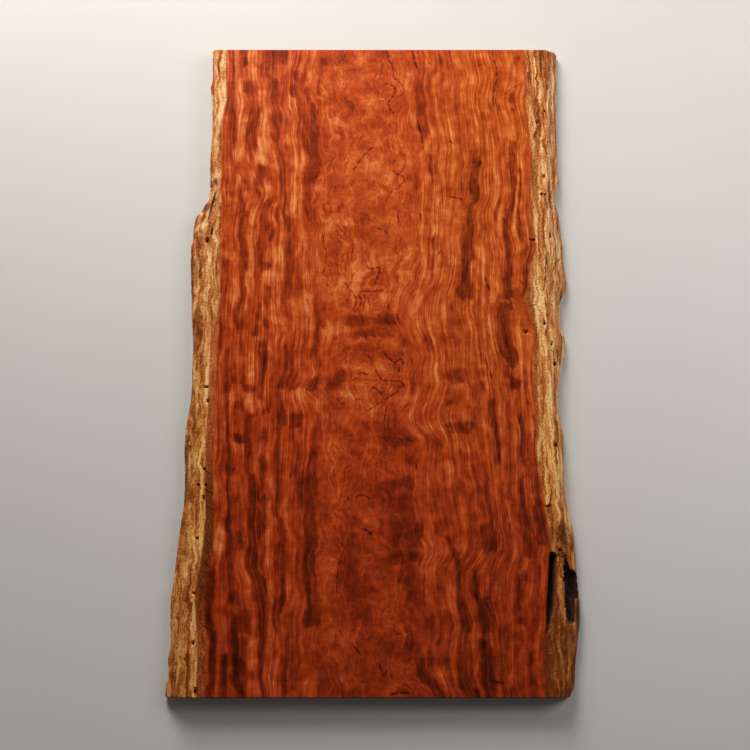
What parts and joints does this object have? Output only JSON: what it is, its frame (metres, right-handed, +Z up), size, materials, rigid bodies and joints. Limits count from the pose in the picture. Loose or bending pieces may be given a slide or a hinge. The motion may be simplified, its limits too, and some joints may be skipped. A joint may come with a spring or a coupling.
{
  "type": "bubinga slab tabletop",
  "caption": "Thick solid hardwood slab tabletop with natural live edges along its length, straight sawn ends and a flat satin face.",
  "frame": {"origin": "middle of the bounding box at the underside", "axes": "+X across the slab to its right edge seen from the foot end, +Y along the grain from the foot end to the head end, +Z up out of the finished face"},
  "size_m": [1.4493, 2.44, 0.06],
  "materials": {
    "oiled_bubinga": "satin oil, red-brown figured heartwood with pale sapwood along both live edges"
  },
  "bodies": {
    "root": {"slab": "oiled_bubinga"}
  },
  "joints": []
}
